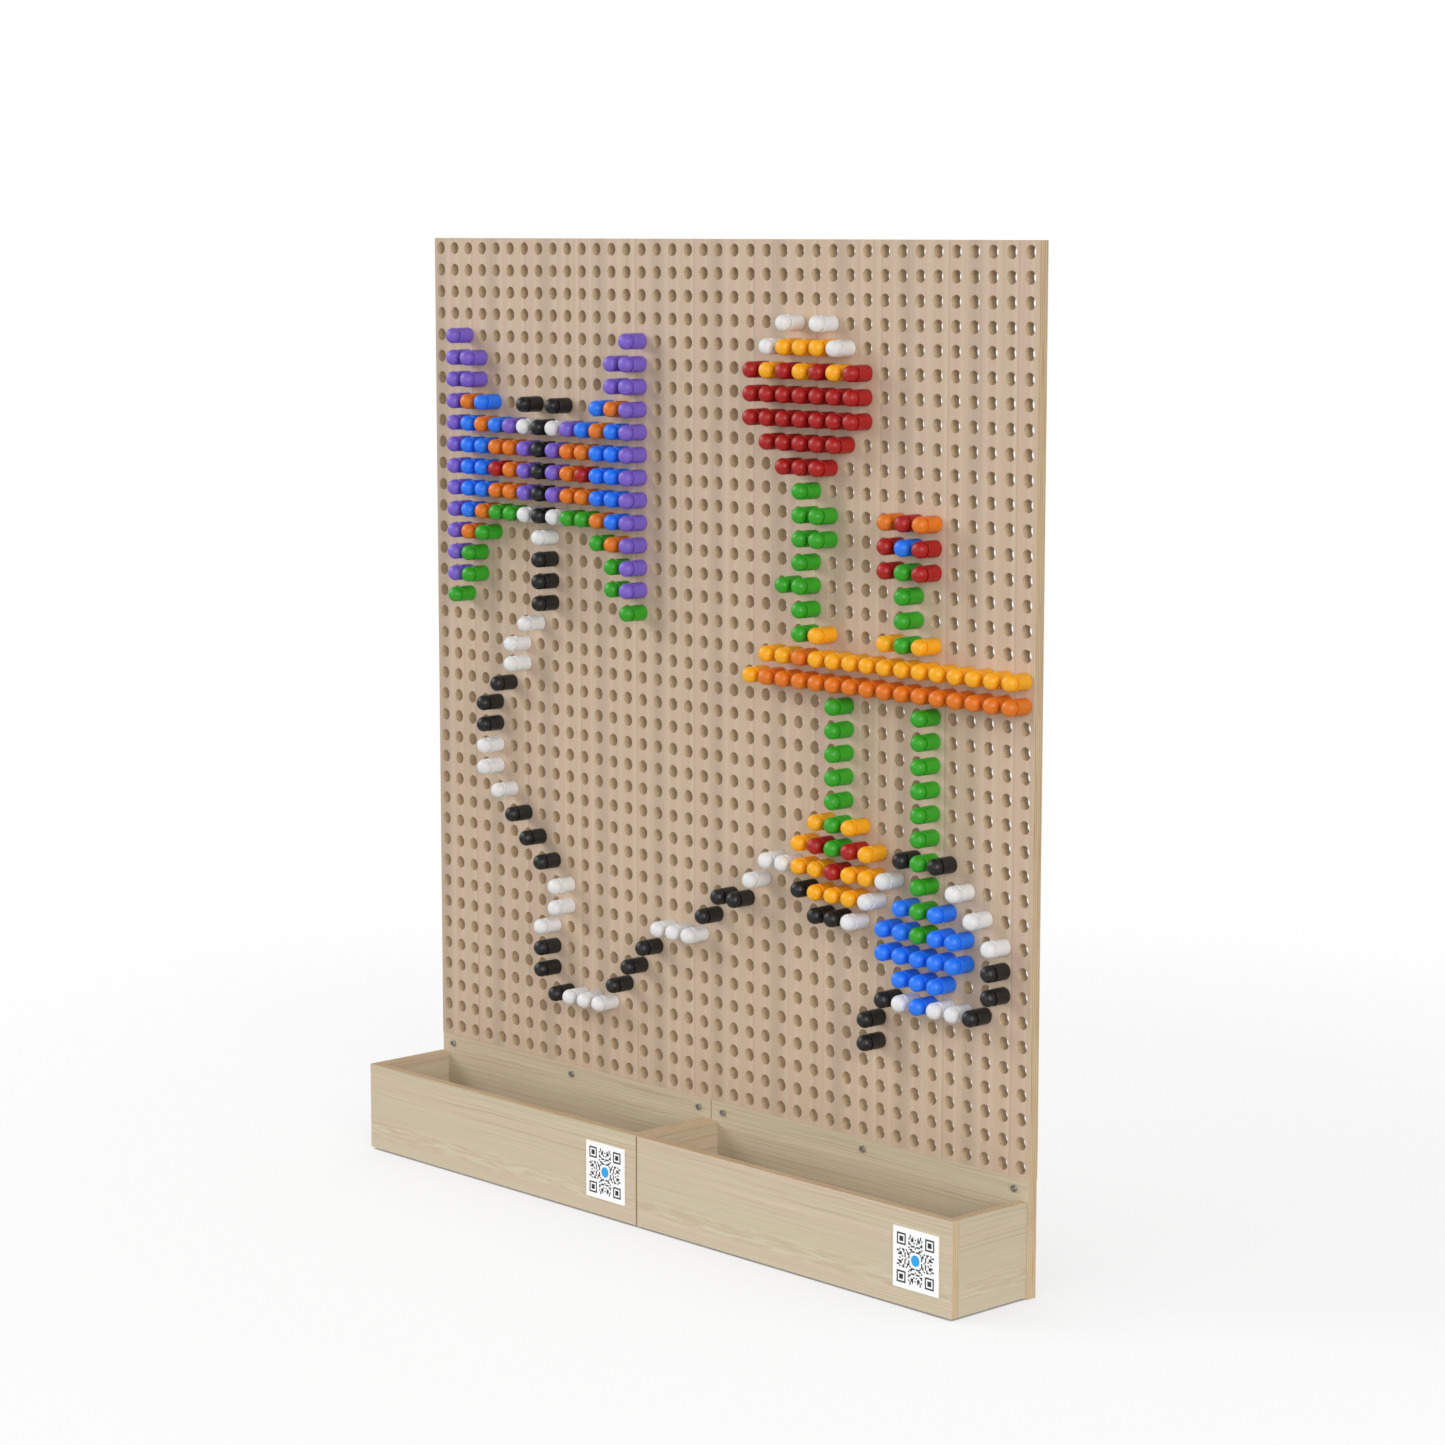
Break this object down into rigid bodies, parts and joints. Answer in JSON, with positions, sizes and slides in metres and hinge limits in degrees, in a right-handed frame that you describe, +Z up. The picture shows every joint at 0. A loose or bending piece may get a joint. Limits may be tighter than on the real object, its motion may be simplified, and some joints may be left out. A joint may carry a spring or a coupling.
{
  "type": "pegboard play wall with trays",
  "caption": "Floor-standing plywood pegboard wall of square panels above open trays, with removable coloured mushroom pegs that draw a picture.",
  "frame": {"origin": "on the floor, at the middle of the width, on the wall plane", "axes": "+X to the viewer's right, +Z up, the pegs point along -Y and the wall is on the +Y side"},
  "size_m": [1.2, 0.182, 1.3585],
  "materials": {
    "peg_panel_wood": "matt lacquer, straight upright grain",
    "tray_wood": "matt lacquer, wavy level grain",
    "dowel_wood": "raw beech",
    "plaque_plastic": "printed white sheet",
    "plate_steel": "zinc plated",
    "screw_steel": "nickel plated",
    "purple_peg": "satin paint over turned wood",
    "blue_peg": "satin paint over turned wood",
    "green_peg": "satin paint over turned wood",
    "orange_peg": "satin paint over turned wood",
    "red_peg": "satin paint over turned wood",
    "yellow_peg": "satin paint over turned wood",
    "black_peg": "satin paint over turned wood",
    "white_peg": "satin paint over turned wood"
  },
  "bodies": {
    "wall_unit": {"bottom_left_peg_panel": "peg_panel_wood", "bottom_right_peg_panel": "peg_panel_wood", "top_left_peg_panel": "peg_panel_wood", "top_right_peg_panel": "peg_panel_wood", "left_tray_back": "tray_wood", "left_tray_front": "tray_wood", "left_tray_left_side": "tray_wood", "left_tray_right_side": "tray_wood", "left_tray_bottom": "tray_wood", "left_plaque": "plaque_plastic", "left_wall_screws": "screw_steel", "left_tray_dowels": "dowel_wood", "right_tray_back": "tray_wood", "right_tray_front": "tray_wood", "right_tray_left_side": "tray_wood", "right_tray_right_side": "tray_wood", "right_tray_bottom": "tray_wood", "right_plaque": "plaque_plastic", "right_wall_screws": "screw_steel", "right_tray_dowels": "dowel_wood", "joining_plates": "plate_steel", "keyhole_hangers": "plate_steel", "joining_plate_screws": "screw_steel", "keyhole_hanger_screws": "screw_steel"},
    "purple_peg_set": {"purple_pegs": "purple_peg"},
    "blue_peg_set": {"blue_pegs": "blue_peg"},
    "green_peg_set": {"green_pegs": "green_peg"},
    "orange_peg_set": {"orange_pegs": "orange_peg"},
    "red_peg_set": {"red_pegs": "red_peg"},
    "yellow_peg_set": {"yellow_pegs": "yellow_peg"},
    "black_peg_set": {"black_pegs": "black_peg"},
    "white_peg_set": {"white_pegs": "white_peg"}
  },
  "joints": [
    {"name": "purple_pegs_pull_out", "type": "slide", "parent": "wall_unit", "child": "purple_peg_set", "axis": [0, -1, 0], "range_m": [0, 0.06]},
    {"name": "blue_pegs_pull_out", "type": "slide", "parent": "wall_unit", "child": "blue_peg_set", "axis": [0, -1, 0], "range_m": [0, 0.06]},
    {"name": "green_pegs_pull_out", "type": "slide", "parent": "wall_unit", "child": "green_peg_set", "axis": [0, -1, 0], "range_m": [0, 0.06]},
    {"name": "orange_pegs_pull_out", "type": "slide", "parent": "wall_unit", "child": "orange_peg_set", "axis": [0, -1, 0], "range_m": [0, 0.06]},
    {"name": "red_pegs_pull_out", "type": "slide", "parent": "wall_unit", "child": "red_peg_set", "axis": [0, -1, 0], "range_m": [0, 0.06]},
    {"name": "yellow_pegs_pull_out", "type": "slide", "parent": "wall_unit", "child": "yellow_peg_set", "axis": [0, -1, 0], "range_m": [0, 0.06]},
    {"name": "black_pegs_pull_out", "type": "slide", "parent": "wall_unit", "child": "black_peg_set", "axis": [0, -1, 0], "range_m": [0, 0.06]},
    {"name": "white_pegs_pull_out", "type": "slide", "parent": "wall_unit", "child": "white_peg_set", "axis": [0, -1, 0], "range_m": [0, 0.06]}
  ]
}
